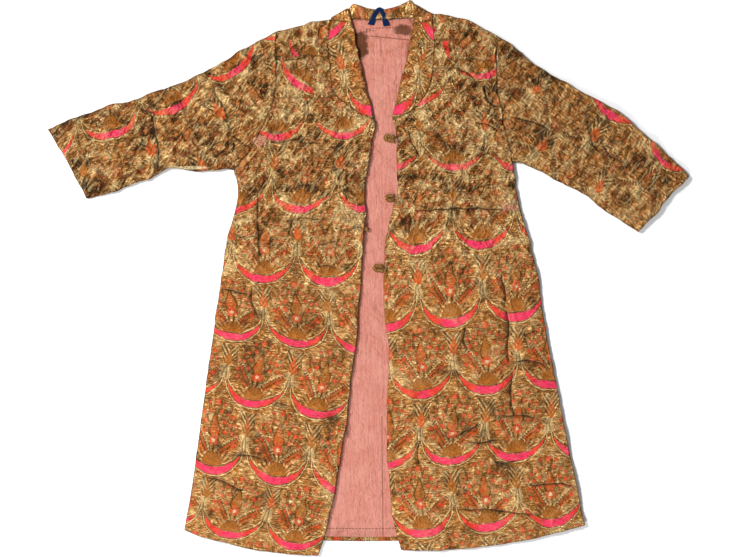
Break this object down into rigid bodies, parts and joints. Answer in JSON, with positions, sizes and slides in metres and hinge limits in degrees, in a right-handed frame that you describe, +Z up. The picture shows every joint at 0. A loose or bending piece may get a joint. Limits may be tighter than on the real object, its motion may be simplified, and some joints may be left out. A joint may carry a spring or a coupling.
{
  "type": "uzbek chapan robe",
  "caption": "Long lined robe of gold brocade with a shawl collar and set-in sleeves, laid out flat on its back with its front open.",
  "frame": {"origin": "centre of the robe's outline, on the surface that it lies on", "axes": "+X towards the wearer's left sleeve, +Y from the hem to the neck, +Z up from the surface, out of the robe's front"},
  "size_m": [1.344, 1.166, 0.0145],
  "materials": {
    "brocade": "gold metal weft with a woven pattern of pink crescents and sprays of flowers",
    "lining": "plain salmon pink silk, matt and stained",
    "ribbon": "dark blue woven tape",
    "rolled_cloth": "rolled strips of the brocade"
  },
  "bodies": {
    "root": {"back_panel": "brocade", "back_lining": "lining", "front_right": "brocade", "front_left": "brocade", "sleeve_right": "brocade", "sleeve_left": "brocade", "collar": "brocade", "hanging_loop": "ribbon", "button_loop_1": "rolled_cloth", "button_loop_2": "rolled_cloth", "button_loop_3": "rolled_cloth", "button_knot": "rolled_cloth"}
  },
  "joints": []
}
